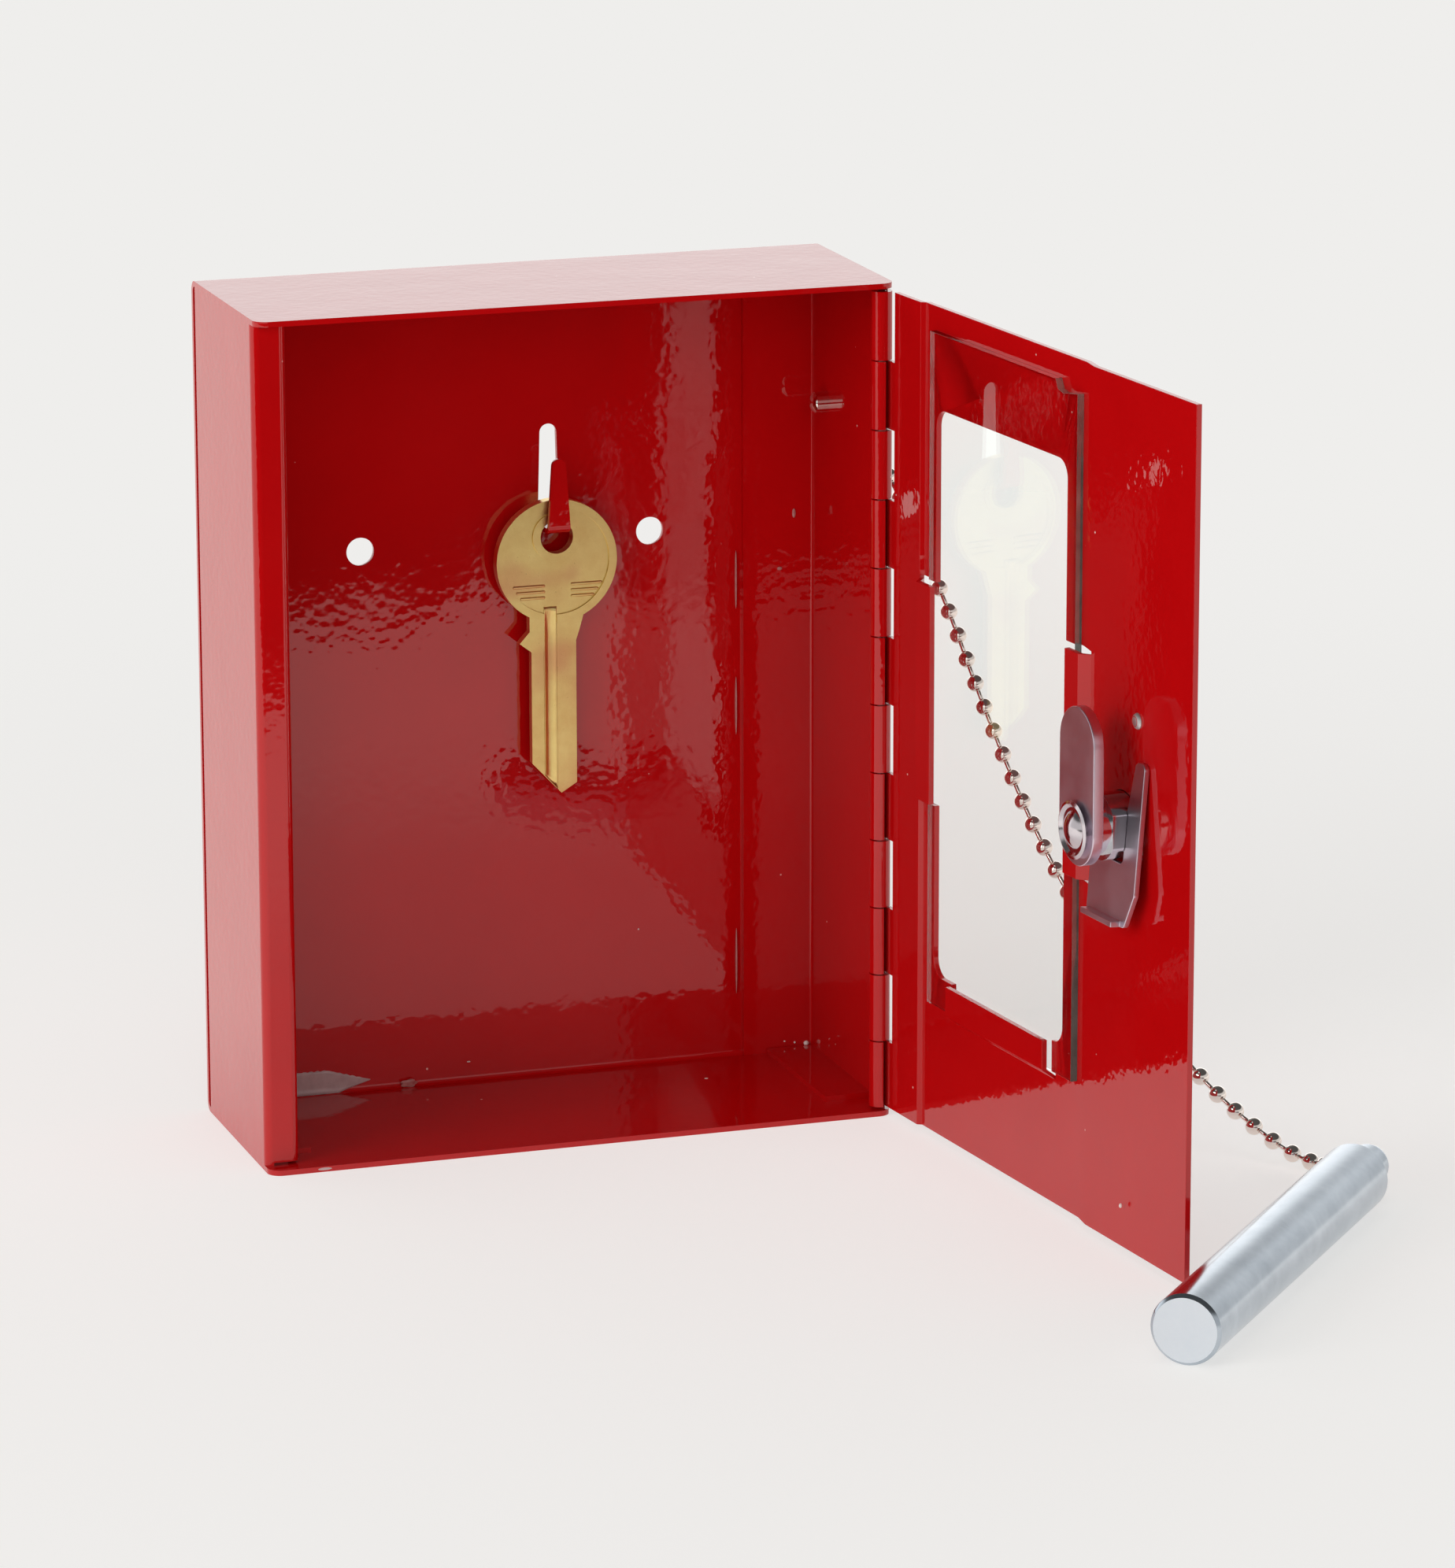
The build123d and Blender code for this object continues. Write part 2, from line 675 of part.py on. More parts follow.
spring_foot = -slot_height / 2 + wafer_fit + wafer_height
with BuildPart() as wafer_springs:
    for place in wafer_places:
        spring_seat = Vector(spring_side, spring_foot, place + wafer_slot / 2)
        with BuildSketch(Plane(lock_view.from_local_coords(spring_seat))):
            Circle(spring_radius)
        extrude(amount=slot_height / 2 - spring_foot - wafer_fit)
wafer_springs.part.label = "wafer_springs"

# ---- cam with its dished washer and rivet --------------------------------------------------
with BuildPart() as lock_cam:
    with BuildSketch(lock_view.offset(cam_at)):
        with Locations((0, (cam_reach - cam_width / 2) / 2)):
            SlotCenterToCenter(cam_reach - cam_width / 2, cam_width, rotation=90)
        Rectangle(tail_side + 2 * cam_fit, tail_side + 2 * cam_fit, mode=Mode.SUBTRACT)
    extrude(amount=cam_thickness)
lock_cam.part.label = "lock_cam"

cam_back = cam_at + cam_thickness
with BuildPart() as cam_washer:
    with BuildSketch(lock_section):
        with BuildLine():
            Polyline(
                (cam_rivet_shank + plug_fit, cam_back),
                (washer_radius - washer_rim, cam_back),
                (washer_radius, cam_back + 1.5 * washer_thickness),
                (washer_radius - washer_rim, cam_back + 2 * washer_thickness),
                (washer_radius - 2 * washer_rim, cam_back + washer_thickness),
                (cam_rivet_shank + plug_fit, cam_back + washer_thickness),
                close=True,
            )
        make_face()
    revolve(axis=lock_axis)
cam_washer.part.label = "cam_washer"

with BuildPart() as cam_rivet:
    with BuildSketch(lock_section):
        with BuildLine():
            Polyline(
                (0, cam_at - rivet_bore_depth),
                (cam_rivet_shank, cam_at - rivet_bore_depth),
                (cam_rivet_shank, cam_back + washer_thickness),
                (cam_rivet_head, cam_back + washer_thickness),
            )
            RadiusArc(
                (cam_rivet_head, cam_back + washer_thickness),
                (0, cam_back + washer_thickness + cam_rivet_dome),
                -dome_radius(cam_rivet_head, cam_rivet_dome),
            )
            Line((0, cam_back + washer_thickness + cam_rivet_dome), (0, cam_at - rivet_bore_depth))
        make_face()
    revolve(axis=lock_axis)
cam_rivet.part.label = "cam_rivet"

# ---- key blank on the hook ------------------------------------------------------------------
hook_shelf = hook_level + sheet
corner_rise = ((key_hole_radius - key_hang) ** 2 - (hook_root / 2) ** 2) ** 0.5
key_level = hook_shelf - corner_rise
key_view = Plane(
    origin=(hook_x, y_inner - key_to_back, key_level), x_dir=(1, 0, 0), z_dir=(0, -1, 0)
)
with BuildPart() as key:
    with BuildSketch(key_view):
        with Locations((0, -bow_drop)):
            Circle(bow_radius)
        Circle(key_hole_radius, mode=Mode.SUBTRACT)
    extrude(amount=key_thickness)
    with BuildSketch(key_view.offset(blade_in)):
        with BuildLine():
            Polyline(
                (-neck_half, -neck_level + neck_into_bow),
                (-neck_half, -neck_level),
                (-shoulder_reach, -shoulder_level),
                (-blade_left, -shoulder_level - shoulder_slope),
                (-blade_left, -blade_length + tip_slope),
                (tip_along, -blade_length),
                (blade_right, -blade_length + tip_corner),
                (blade_right, -shoulder_level),
                (neck_half - 1, -neck_level),
                (neck_half, -neck_level + neck_into_bow),
                close=True,
            )
        make_face()
    extrude(amount=key_thickness - 2 * blade_in)
    with BuildSketch(key_view.offset(key_thickness - bow_recess)):
        with Locations((0, -bow_drop)):
            Circle(bow_radius - bow_rim)
        Circle(key_hole_radius + bow_rim, mode=Mode.SUBTRACT)
        with Locations((0, -neck_level)):
            Rectangle(3 * neck_half, bow_radius / 2, mode=Mode.SUBTRACT)
    extrude(amount=bow_recess, mode=Mode.SUBTRACT)
    with BuildSketch(key_view.offset(key_thickness - blade_in - milling_depth)):
        with Locations((milling_along, -milling_top - milling_width / 2)):
            Rectangle(milling_width, blade_length, align=(Align.CENTER, Align.MAX))
            Circle(milling_width / 2)
    extrude(amount=milling_depth + blade_in, mode=Mode.SUBTRACT)
    with BuildSketch(key_view.offset(key_thickness - blade_in - step_depth)):
        with Locations((milling_along, -shoulder_level - shoulder_slope)):
            Rectangle(2 * blade_left, blade_length, align=(Align.MAX, Align.MAX))
    extrude(amount=step_depth + blade_in, mode=Mode.SUBTRACT)
key.part.label = "key"

# ---- chain anchor: rivet through the right wall and the eyelet outside it ---------------------
rivet_centre = Vector(x_right, rivet_y, rivet_level)
rivet_section = Plane(origin=rivet_centre, x_dir=(1, 0, 0), z_dir=(0, -1, 0))
with BuildPart() as chain_rivet:
    with BuildSketch(rivet_section):
        with BuildLine():
            head_radius = dome_radius(rivet_head, rivet_dome)
            end_back = -sheet - rivet_stand
            RadiusArc(
                (end_back - rivet_crown, 0),
                (end_back, rivet_end),
                dome_radius(rivet_end, rivet_crown),
            )
            Polyline(
                (end_back, rivet_end),
                (-sheet, rivet_end),
                (-sheet, rivet_shank),
                (eyelet_thickness, rivet_shank),
                (eyelet_thickness, rivet_head),
            )
            RadiusArc((eyelet_thickness, rivet_head), (eyelet_thickness + rivet_dome, 0), head_radius)
            Line((eyelet_thickness + rivet_dome, 0), (end_back - rivet_crown, 0))
        make_face()
    revolve(axis=Axis(rivet_centre, (1, 0, 0)))
chain_rivet.part.label = "chain_rivet"

chain_start = Vector(*chain_route[0])
start_run = (Vector(*chain_route[1]) - chain_start).normalized()
cup_back = chain_start - start_run * coupling_length
with BuildPart() as chain_eyelet:
    with BuildSketch(Plane.YZ.offset(x_right)):
        with Locations((rivet_y, rivet_level)):
            Circle(eyelet_radius)
            Circle(rivet_shank + rivet_fit, mode=Mode.SUBTRACT)
    extrude(amount=eyelet_thickness)
    with BuildSketch(Plane.XY.offset(rivet_level - eyelet_radius)):
        with Locations((x_right, rivet_y)):
            Rectangle(cup_back.X - x_right, eyelet_radius, align=(Align.MIN, Align.CENTER))
    extrude(amount=eyelet_thickness)
    with BuildSketch(Plane(origin=cup_back, z_dir=start_run)):
        Circle(coupling_radius)
    extrude(amount=coupling_length)
chain_eyelet.part.label = "chain_eyelet"

# ---- breaker bar: turned steel with a shoulder and a drilled boss ------------------------------
bar_direction = Vector(cos(radians(bar_turn)), sin(radians(bar_turn)), 0)
bar_start = Vector(bar_near[0], bar_near[1], bar_radius)
bar_section = Plane(origin=bar_start, x_dir=bar_direction, z_dir=(0, 0, 1))
boss_hole = bar_start + bar_direction * (bar_length + boss_neck)
chain_end = Vector(*chain_route[-1])
coupling_way = (chain_end - boss_hole).normalized()

with BuildPart() as breaker_bar:
    with BuildSketch(bar_section):
        with BuildLine():
            Polyline(
                (0, 0),
                (0, bar_radius - bar_chamfer),
                (bar_chamfer, bar_radius),
                (bar_length - shoulder_chamfer, bar_radius),
                (bar_length, bar_radius - shoulder_chamfer),
                (bar_length, boss_radius),
                (bar_length + boss_length - boss_round, boss_radius),
            )
            RadiusArc(
                (bar_length + boss_length - boss_round, boss_radius),
                (bar_length + boss_length, boss_radius - boss_round),
                boss_round,
            )
            Polyline(
                (bar_length + boss_length, boss_radius - boss_round),
                (bar_length + boss_length, 0),
                (0, 0),
            )
        make_face()
    revolve(axis=Axis(bar_start, bar_direction))
    with BuildSketch(Plane(origin=boss_hole - coupling_way * bar_radius, z_dir=coupling_way)):
        Circle(link_radius + rivet_fit)
    extrude(amount=2 * bar_radius, mode=Mode.SUBTRACT)
breaker_bar.part.label = "breaker_bar"

link_length = (chain_end - boss_hole).length - coupling_length
with BuildPart() as bar_coupling:
    with BuildSketch(Plane(origin=boss_hole - coupling_way * link_radius, z_dir=coupling_way)):
        Circle(link_radius)
    extrude(amount=link_length + link_radius)
    with BuildSketch(Plane(origin=chain_end - coupling_way * coupling_length, z_dir=coupling_way)):
        Circle(coupling_radius)
    extrude(amount=coupling_length)
bar_coupling.part.label = "bar_coupling"

# ---- bead chain, as one tube along its centre line -----------------------------------------------
route = [Vector(*point) for point in chain_route]
runs = [after - before for before, after in zip(route, route[1:])]
chain_radii = []
for before, after in zip(runs, runs[1:]):
    half_turn = radians(before.get_angle(after) / 2)
    chain_radii.append(0.45 * min(before.length, after.length) / tan(half_turn))

with BuildPart() as bead_chain:
    with BuildLine() as chain_line:
        FilletPolyline(*route, radius=chain_radii)
    with BuildSketch(Plane(origin=route[0], z_dir=runs[0])):
        Circle(chain_diameter / 2)
    sweep()
bead_chain.part.label = "bead_chain"

chain_length = sum(edge.length for edge in chain_line.edges())
section_area = pi * (chain_diameter / 2) ** 2
print("chain radii", [round(radius, 1) for radius in chain_radii])
print("chain length", round(chain_length, 1))
print("volume", round(bead_chain.part.volume, 1), "of", round(section_area * chain_length, 1))

# ---- files ------------------------------------------------------------------------------------------
os.makedirs("parts", exist_ok=True)
pieces = [
    case_shell, left_side, right_side, hinge_pin, door_panel, glass_pane, lock_housing, lock_clip,
    lock_plug, lock_wafers, wafer_springs, lock_cam, cam_washer, cam_rivet, key, chain_rivet,
    chain_eyelet, bead_chain, bar_coupling, breaker_bar,
]
for piece in pieces:
    export_step(piece.part, f"parts/{piece.part.label}.step")
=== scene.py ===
# %% [markdown]
# # A break glass key box in red enamel
# The object is a shallow wall box of folded sheet steel. Its glazed door stands open, a brass key
# hangs inside on a hook, and the bar that breaks the glass lies in front of it on a bead chain.
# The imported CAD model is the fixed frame: its pieces keep their places and sizes. Here they get
# rounded edges, real finishes and the small pieces that a CAD model leaves out, such as the beads.

import bmesh
import bpy
import numpy as np
from mathutils import Matrix, Vector


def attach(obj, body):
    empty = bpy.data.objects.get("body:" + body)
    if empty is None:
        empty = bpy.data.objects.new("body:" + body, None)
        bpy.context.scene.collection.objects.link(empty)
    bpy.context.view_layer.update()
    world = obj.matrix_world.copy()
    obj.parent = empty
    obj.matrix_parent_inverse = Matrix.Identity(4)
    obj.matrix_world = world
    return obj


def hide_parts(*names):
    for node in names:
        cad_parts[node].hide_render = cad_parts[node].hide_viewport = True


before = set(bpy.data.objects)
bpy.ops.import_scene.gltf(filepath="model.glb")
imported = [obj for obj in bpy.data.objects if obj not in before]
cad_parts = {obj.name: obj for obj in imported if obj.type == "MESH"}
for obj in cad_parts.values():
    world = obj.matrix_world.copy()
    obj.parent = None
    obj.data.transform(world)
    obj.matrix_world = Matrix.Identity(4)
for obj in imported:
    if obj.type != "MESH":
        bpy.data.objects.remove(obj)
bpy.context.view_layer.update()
MM = 0.001
render_levels = 2

# %% [markdown]
# ## The camera
# A photograph of a product is taken from far away with a long lens, so that its edges stay nearly
# parallel. The lens, the distance and the angles below were found by fitting a camera to the edges
# of the box. The focal length in pixels turns into millimetres through the height of the sensor.

# %% The camera
image_height = 1992
focal_pixels = 9257.85
sensor_height = 36.0
camera_turn = 0.32238     # to the right, in radians
camera_dip = 0.24931      # downwards
camera_roll = -0.00182
camera_place = (-375.72, -1228.37, 389.15)

lens = bpy.data.cameras.new("photo_camera")
lens.sensor_fit = "VERTICAL"
lens.sensor_height = sensor_height
lens.lens = focal_pixels * sensor_height / image_height
lens.clip_end = 50
camera = bpy.data.objects.new("photo_camera", lens)
bpy.context.scene.collection.objects.link(camera)
camera.matrix_world = (
    Matrix.Translation([c * MM for c in camera_place])
    @ Matrix.Rotation(-camera_turn, 4, "Z")
    @ Matrix.Rotation(np.pi / 2 - camera_dip, 4, "X")
    @ Matrix.Rotation(camera_roll, 4, "Z")
)
bpy.context.scene.camera = camera
print("lens in mm:", round(lens.lens, 1))

# %% [markdown]
# ## A mesh from a grid
# Each new piece is a surface worked out as whole arrays: a grid of points with rows along one
# parameter and columns along the other. One helper joins the grid into faces.

# %% Grid helpers
def grid_faces(rows, columns, wrap=False):
    """Quads of a grid of rows x columns points; wrap joins the last column to the first."""
    across = columns if wrap else columns - 1
    i, j = np.meshgrid(np.arange(rows - 1), np.arange(across), indexing="ij")
    k = (j + 1) % columns
    corners = (i * columns + j, i * columns + k, (i + 1) * columns + k, (i + 1) * columns + j)
    return np.stack(corners, axis=-1).reshape(-1, 4)


def make_piece(name, points, faces, body, material, smooth=True):
    """A mesh object at the origin from points in metres; it moves with body."""
    mesh = bpy.data.meshes.new(name)
    mesh.from_pydata(np.asarray(points).reshape(-1, 3).tolist(), [], [list(map(int, f)) for f in faces])
    mesh.update()
    if smooth:
        mesh.shade_smooth()
    mesh.materials.append(material)
    piece = bpy.data.objects.new(name, mesh)
    bpy.context.scene.collection.objects.link(piece)
    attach(piece, body)
    return piece


# %% [markdown]
# ## The colours
# A colour is picked as it looks on a screen, as an sRGB hex value. Light is summed in linear
# values, so one function takes the screen curve out of it.

# %% Colours
def linear(hex_colour):
    """Linear red, green, blue and alpha: ((c + 0.055) / 1.055) to the power 2.4 for each part."""
    parts = [int(hex_colour[i : i + 2], 16) / 255 for i in (0, 2, 4)]
    return [c / 12.92 if c <= 0.04045 else ((c + 0.055) / 1.055) ** 2.4 for c in parts] + [1.0]


# %% A helper for the nodes
def add(tree, kind, inputs=None, **settings):
    """Adds one node; inputs gives a value, or the socket that feeds it, for each input."""
    node = tree.nodes.new(kind)
    for name, value in settings.items():
        setattr(node, name, value)
    for socket, value in (inputs or {}).items():
        if isinstance(value, bpy.types.NodeSocket):
            tree.links.new(value, node.inputs[socket])
        else:
            node.inputs[socket].default_value = value
    return node


def new_material(name, **values):
    """A material with one Principled shader; values are its sockets, with _ for a space."""
    material = bpy.data.materials.new(name)
    material.use_nodes = True
    tree = material.node_tree
    shader = tree.nodes["Principled BSDF"]
    for socket, value in values.items():
        shader.inputs[socket.replace("_", " ")].default_value = value
    return material, tree, shader


def on_piece(tree):
    """The place on the piece in metres."""
    return add(tree, "ShaderNodeTexCoord").outputs["Object"]


# %% [markdown]
# ## Gloss red enamel
# The box is stoved with a thick gloss paint. Light enters the paint and comes back deep red, and
# the smooth skin adds a clear reflection, 4% of the light seen straight on and much more at a
# flat angle. Sprayed paint never dries quite flat: it has an orange peel of waves 1 to 2 mm long
# and a few micrometres high, which breaks up the edges of reflections. The waves are a bump.

# %% Red enamel
peel_wave = 1.9 * MM
peel_height = 0.03 * MM
sag_wave = 11.0 * MM
sag_height = 0.05 * MM
dust_spacing = 7.5 * MM
dust_size = 0.25 * MM

enamel, tree, shader = new_material("red_stoving_enamel", IOR=1.52)
place = on_piece(tree)
tint = add(tree, "ShaderNodeTexNoise", {"Vector": place, "Scale": 1 / (14 * MM), "Detail": 3.0})
reds = add(tree, "ShaderNodeMix", {0: tint.outputs["Fac"], 6: linear("B4060A"), 7: linear("BE0A0D")}, data_type="RGBA")
peel = add(tree, "ShaderNodeTexNoise", {"Vector": place, "Scale": 1 / peel_wave, "Detail": 1.0})
sag = add(tree, "ShaderNodeTexNoise", {"Vector": place, "Scale": 1 / sag_wave, "Detail": 0.0})
waves = add(tree, "ShaderNodeBump", {"Height": sag.outputs["Fac"], "Distance": sag_height})
bumps = add(tree, "ShaderNodeBump", {"Height": peel.outputs["Fac"], "Distance": peel_height, "Normal": waves.outputs["Normal"]})
tree.links.new(bumps.outputs["Normal"], shader.inputs["Normal"])

# %% Dust and wear in the enamel
cells = add(tree, "ShaderNodeTexVoronoi", {"Vector": place, "Scale": 1 / dust_spacing})
speck = add(tree, "ShaderNodeMapRange", {
    "Value": cells.outputs["Distance"], "From Min": dust_size / dust_spacing, "From Max": 0.6 * dust_size / dust_spacing,
})
chance = add(tree, "ShaderNodeSeparateColor", {0: cells.outputs["Color"]})
some = add(tree, "ShaderNodeMath", {0: chance.outputs[0], 1: 0.5}, operation="GREATER_THAN")
dust = add(tree, "ShaderNodeMath", {0: speck.outputs["Result"], 1: some.outputs[0]}, operation="MULTIPLY")
dusty = add(tree, "ShaderNodeMix", {0: dust.outputs[0], 6: reds.outputs[2], 7: linear("ECC4BC")}, data_type="RGBA")
tree.links.new(dusty.outputs[2], shader.inputs["Base Color"])
rubbed = add(tree, "ShaderNodeTexNoise", {"Vector": place, "Scale": 1 / (30 * MM), "Detail": 4.0})
dull = add(tree, "ShaderNodeMapRange", {"Value": rubbed.outputs["Fac"], "From Min": 0.4, "From Max": 0.75, "To Min": 0.02, "To Max": 0.07})
tree.links.new(dull.outputs["Result"], shader.inputs["Roughness"])

# %% [markdown]
# ## Plated steel, zinc and nickel
# The lock, the chain and the bar are plated. Zinc is bluish and a little cloudy, with fine lines
# from turning or tumbling, and nickel is warmer and polished. All are metals, so metallic is 1 and
# the colour tints the reflection.

# %% Bright zinc, nickel and steel
def plated(name, light, dark, roughness, cloud, line_height=0.0, line_spacing=0.3 * MM):
    """Metal whose colour drifts between two tones over cloud metres, with a bump of fine waves."""
    material, tree, shader = new_material(name, Metallic=1.0)
    place = on_piece(tree)
    clouds = add(tree, "ShaderNodeTexNoise", {"Vector": place, "Scale": 1 / cloud, "Detail": 5.0, "Roughness": 0.6})
    tones = add(tree, "ShaderNodeMix", {0: clouds.outputs["Fac"], 6: linear(dark), 7: linear(light)}, data_type="RGBA")
    tree.links.new(tones.outputs[2], shader.inputs["Base Color"])
    rough = add(
        tree, "ShaderNodeMapRange",
        {"Value": clouds.outputs["Fac"], "From Min": 0.35, "From Max": 0.65, "To Min": roughness * 0.93, "To Max": roughness * 1.08},
    )
    tree.links.new(rough.outputs["Result"], shader.inputs["Roughness"])
    if line_height:
        fine = add(tree, "ShaderNodeTexNoise", {"Vector": place, "Scale": 1 / line_spacing, "Detail": 2.0})
        bump = add(tree, "ShaderNodeBump", {"Height": fine.outputs["Fac"], "Distance": line_height})
        tree.links.new(bump.outputs["Normal"], shader.inputs["Normal"])
    return material


zinc_bar = plated("bright_zinc_on_steel", "C9D2DB", "97A2AC", 0.2, 7 * MM, 0.004 * MM, 0.4 * MM)
zinc_lock = plated("zinc_plated_cam", "E2D5E0", "CFC1CF", 0.32, 7 * MM, 0.003 * MM, 0.35 * MM)
# The bar's flat end gets a paler zinc: a painted highlight for the bright reflection it shows.
end_zinc_painted_highlight = plated("paler_end_zinc_painted_highlight", "F2F7FC", "DCE5EE", 0.5, 5 * MM)
zinc_rivet = plated("zinc_plated_rivet", "E2DDE0", "C0B8BE", 0.16, 3 * MM)
nickel_lock = plated("nickel_plated_lock", "EAECEE", "CACED2", 0.14, 5 * MM)
nickel_chain = plated("nickel_plated_beads", "F2EAE4", "DCD2CA", 0.05, 3 * MM)
steel_pin = plated("drawn_steel_wire", "A8A6A4", "8E8C8A", 0.3, 3 * MM)
brass_wafer = plated("rolled_brass", "D0AC62", "B8924C", 0.3, 2 * MM)

# %% [markdown]
# ## Brass
# The key is a stamped blank, tumbled and handled. Brass is a metal with a yellow colour, and where
# it tarnished it goes brown and duller.

# %% Tumbled brass
brass, tree, shader = new_material("tumbled_brass", Metallic=1.0)
place = on_piece(tree)
stain = add(tree, "ShaderNodeTexNoise", {"Vector": place, "Scale": 1 / (6 * MM), "Detail": 6.0, "Roughness": 0.65})
grain = add(tree, "ShaderNodeTexNoise", {"Vector": place, "Scale": 1 / (0.35 * MM), "Detail": 3.0})
handled = add(tree, "ShaderNodeTexNoise", {"Vector": place, "Scale": 1 / (17 * MM), "Detail": 2.0})
golds = add(tree, "ShaderNodeMix", {0: stain.outputs["Fac"], 6: linear("DDB36C"), 7: linear("FFEC9E")}, data_type="RGBA")
copper = add(tree, "ShaderNodeMapRange", {"Value": handled.outputs["Fac"], "From Min": 0.5, "From Max": 0.68, "To Max": 0.75}, interpolation_type="SMOOTHSTEP")
tones = add(tree, "ShaderNodeMix", {0: copper.outputs["Result"], 6: golds.outputs[2], 7: linear("D99A6E")}, data_type="RGBA")
tree.links.new(tones.outputs[2], shader.inputs["Base Color"])
rough = add(tree, "ShaderNodeMapRange", {"Value": grain.outputs["Fac"], "To Min": 0.22, "To Max": 0.42})
tree.links.new(rough.outputs["Result"], shader.inputs["Roughness"])
bump = add(tree, "ShaderNodeBump", {"Height": grain.outputs["Fac"], "Distance": 0.015 * MM})
tree.links.new(bump.outputs["Normal"], shader.inputs["Normal"])

# %% [markdown]
# ## Float glass
# The pane is plain float glass. It is clear straight through, and its cut edges look green because
# light runs a long way inside the pane before it comes out there.

# %% Glass
def clear_shadow(tree, shader):
    """Lets light pass straight through a glass to what it shades, as thin glass does."""
    rays = add(tree, "ShaderNodeLightPath")
    through = add(tree, "ShaderNodeBsdfTransparent")
    both = add(tree, "ShaderNodeMixShader", {0: rays.outputs["Is Shadow Ray"], 1: shader.outputs[0], 2: through.outputs[0]})
    tree.links.new(both.outputs[0], tree.nodes["Material Output"].inputs["Surface"])


glass, tree, shader = new_material("float_glass", Roughness=0.0, IOR=1.5, Transmission_Weight=1.0)
shader.inputs["Specular Tint"].default_value = linear("C4C4C4")      # the photograph's pane mirrors little
shader.inputs["Base Color"].default_value = linear("FCFEFD")
clear_shadow(tree, shader)
glass_edge, tree, shader = new_material("cut_glass_edge", Roughness=0.25, IOR=1.52, Transmission_Weight=0.7)
flaws = add(tree, "ShaderNodeTexNoise", {"Vector": on_piece(tree), "Scale": 1 / (2.5 * MM), "Detail": 4.0})
greens = add(tree, "ShaderNodeMix", {0: flaws.outputs["Fac"], 6: linear("55625A"), 7: linear("B7C9BD")}, data_type="RGBA")
tree.links.new(greens.outputs[2], shader.inputs["Base Color"])

# %% [markdown]
# ## Rounded edges
# A real edge is never perfectly sharp: paint and plating round it, and the round catches a thin
# line of light. A CAD mesh is loose triangles, so each piece is copied, its doubled points are
# merged, flat neighbours are joined, and a Bevel modifier rounds the edges that are left. The copy
# stands for the CAD piece.

# %% Dress the CAD pieces
def rounded_copy(node, width, material, body):
    """A copy of a CAD piece with its sharp edges rounded to width metres."""
    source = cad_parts[node]
    mesh = source.data.copy()
    mesh.name = node + "_dressed"
    form = bmesh.new()
    form.from_mesh(mesh)
    bmesh.ops.remove_doubles(form, verts=form.verts, dist=0.002 * MM)
    bmesh.ops.dissolve_limit(form, angle_limit=np.radians(0.6), verts=form.verts, edges=form.edges)
    for face in form.faces:
        face.smooth = True
    form.to_mesh(mesh)
    form.free()
    mesh.materials.clear()
    mesh.materials.append(material)
    piece = bpy.data.objects.new(node + "_dressed", mesh)
    bpy.context.scene.collection.objects.link(piece)
    rounding = piece.modifiers.new("rounded edges", "BEVEL")
    rounding.width = width
    rounding.segments = render_levels
    rounding.limit_method = "ANGLE"
    rounding.angle_limit = np.radians(32)
    even = piece.modifiers.new("flat faces stay flat", "WEIGHTED_NORMAL")
    even.weight = 100
    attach(piece, body)
    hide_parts(node)
    return piece


dressing = [
    ("case_shell", 0.25, enamel, "red_enamel", "case"),
    ("left_side", 0.25, enamel, "red_enamel", "case"),
    ("right_side", 0.18, enamel, "red_enamel", "case"),
    ("door_panel", 0.2, enamel, "red_enamel", "door"),
    ("lock_cam", 0.2, zinc_lock, "lock_zinc", "lock"),
    ("lock_clip", 0.15, zinc_lock, "lock_zinc", "door"),
    ("lock_housing", 0.2, nickel_lock, "lock_nickel", "door"),
    ("breaker_bar", 0.25, zinc_bar, "bar_steel", "case"),
    ("key", 0.15, brass, "key_brass", "key"),
]
for node, width, material, slot, body in dressing:
    piece = rounded_copy(node, width * MM, material, body)
    print(node, "faces before rounding:", len(piece.data.polygons))

# %% The pane's cut edges
pane = rounded_copy("glass_pane", 0.06 * MM, glass, "door")
pane.data.materials.append(glass_edge)
widest = max(pane.data.polygons, key=lambda face: face.area)
pane_normal = widest.normal.copy()
chip_side = -72 * MM      # y in front of which the pane was cut and broken by hand
for face in pane.data.polygons:
    face.material_index = int(abs(face.normal.dot(pane_normal)) < 0.5 and face.center.y < chip_side)
print("edge faces of the pane:", sum(face.material_index for face in pane.data.polygons))

# %% The breaker bar's flat end
bar = bpy.data.objects["breaker_bar_dressed"]
# The flat end takes the paler zinc, a painted highlight.
bar.data.materials.append(end_zinc_painted_highlight)
corners = np.array([vertex.co for vertex in bar.data.vertices])
bar_axis = np.linalg.svd(corners - corners.mean(axis=0), full_matrices=False)[2][0]
bar_end = min(corners @ bar_axis * np.sign(bar_axis[1])) + 0.2 * MM
for face in bar.data.polygons:
    place_along = np.dot(face.center, bar_axis) * np.sign(bar_axis[1])
    face.material_index = int(abs(np.dot(face.normal, bar_axis)) > 0.9 and place_along < bar_end)
print("flat faces at the bar's near end:", sum(face.material_index for face in bar.data.polygons))

# %% Pieces that keep their CAD mesh
kept = {
    "hinge_pin": steel_pin, "lock_plug": nickel_lock, "lock_wafers": brass_wafer,
    "wafer_springs": steel_pin, "cam_washer": zinc_rivet, "cam_rivet": zinc_rivet, "chain_rivet": nickel_chain,
    "chain_eyelet": nickel_chain, "bar_coupling": nickel_chain,
}
for node, material in kept.items():
    for slot_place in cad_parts[node].material_slots:
        slot_place.material = material

# %% [markdown]
# ## The bead chain
# A bead chain is a row of hollow balls held together by short pins with a head inside each ball.
# It hangs in a smooth curve from the eyelet on the wall and lies on the floor to the bar. The line
# is a spline through which the balls are threaded at equal steps, so its length stays real.

